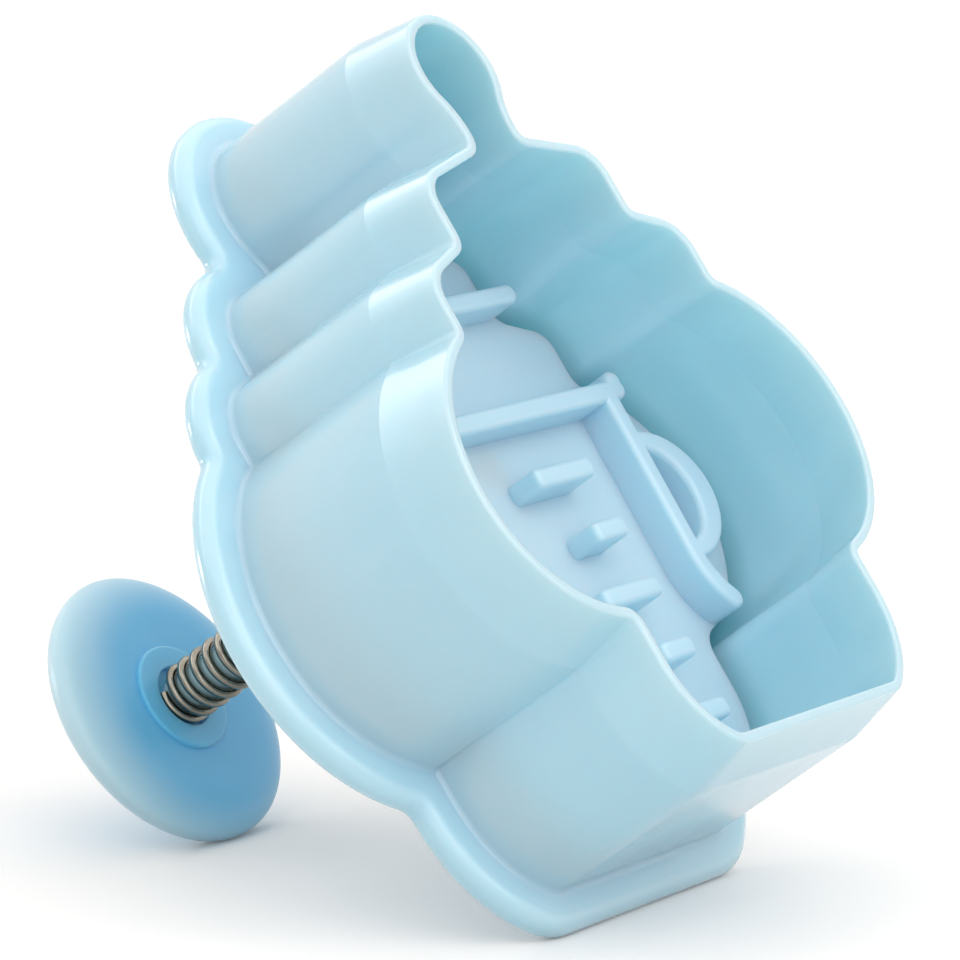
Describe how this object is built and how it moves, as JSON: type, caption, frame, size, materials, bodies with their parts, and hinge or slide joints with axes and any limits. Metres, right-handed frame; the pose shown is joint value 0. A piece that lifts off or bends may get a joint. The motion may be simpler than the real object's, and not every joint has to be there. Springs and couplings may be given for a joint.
{
  "type": "plunger cutter",
  "caption": "Spring-loaded plunger cutter for dough and sugar paste in a feeding-bottle outline, with a raised stamp plate inside and a round thumb knob.",
  "frame": {"origin": "on the plane of the cutting rim, under the middle of the outline", "axes": "+Z from the cutting rim to the knob, +Y from the bottle's base to its teat, +X to the right of the outline seen from the knob with the teat up"},
  "size_m": [0.0734, 0.0858, 0.0689],
  "materials": {
    "shell_plastic": "light blue, slightly translucent moulded plastic, satin gloss",
    "spring_steel": "bright nickel-plated spring wire",
    "knob_plastic": "deeper blue moulded plastic, soft satin"
  },
  "bodies": {
    "shell": {"cutter_shell": "shell_plastic", "return_spring": "spring_steel"},
    "plunger": {"stamp_plate": "shell_plastic", "plunger_stem": "shell_plastic", "thumb_knob": "knob_plastic"}
  },
  "joints": [
    {"name": "plunger_slide", "type": "slide", "parent": "shell", "child": "plunger", "axis": [0, 0, -1], "range_m": [0, 0.015], "stiffness_N_per_m": 450, "springref_m": -0.006, "deforming": ["return_spring"]}
  ]
}
